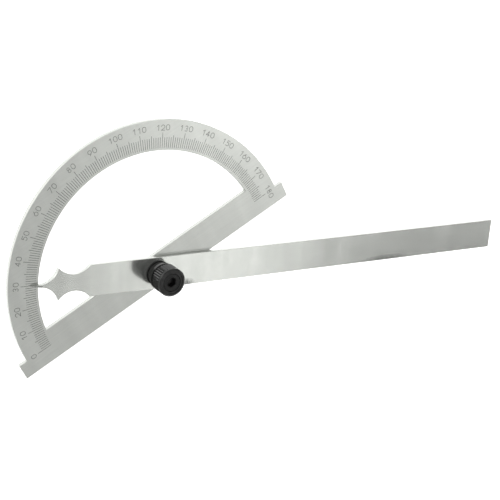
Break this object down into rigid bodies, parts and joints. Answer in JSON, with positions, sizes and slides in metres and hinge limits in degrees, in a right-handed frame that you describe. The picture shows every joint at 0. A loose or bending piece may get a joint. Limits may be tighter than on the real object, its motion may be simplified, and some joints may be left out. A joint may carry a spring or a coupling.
{
  "type": "protractor",
  "caption": "Flat half-ring protractor with an engraved degree scale and a base bar, and a straight rail with a fishtail pointer that swings on a pivot and is clamped by a knurled knob.",
  "frame": {"origin": "on the pivot axis, in the plane of the flush back faces (mount underside), which lie on the table", "axes": "+Z out of the graduated face along the pivot axis; +X along the base bar from its 0 degree end to its 180 degree end; +Y to the crown of the half ring. At rest the rail points 30 degrees below +X, a reading of 30"},
  "size_m": [0.252, 0.1775, 0.0194],
  "materials": {
    "plate_steel": "satin, engraved scale",
    "rail_steel": "ground, satin",
    "bush_steel": "turned, faced flush",
    "black_washer": "black oxide",
    "black_grip": "black oxide, knurled",
    "black_screw": "black oxide"
  },
  "bodies": {
    "plate": {"arc_plate": "plate_steel", "pivot_bush": "bush_steel"},
    "arm": {"rail": "rail_steel"},
    "lift": {"washer": "black_washer"},
    "knob": {"knob_grip": "black_grip", "clamp_screw": "black_screw"}
  },
  "joints": [
    {"name": "arm_swing", "type": "hinge", "parent": "plate", "child": "arm", "pos_m": [0, 0, 0.0025], "axis": [0, 0, 1], "continuous": true},
    {"name": "knob_lift", "type": "slide", "parent": "plate", "child": "lift", "axis": [0, 0, 1], "range_m": [0, 0.0024]},
    {"name": "knob_turn", "type": "hinge", "parent": "lift", "child": "knob", "pos_m": [0, 0, 0.005], "axis": [0, 0, 1], "range_deg": [0, 1080]}
  ],
  "couplings": [
    {"joint": "knob_lift", "follows": "knob_turn", "m_per_rad": 0.00012732}
  ]
}
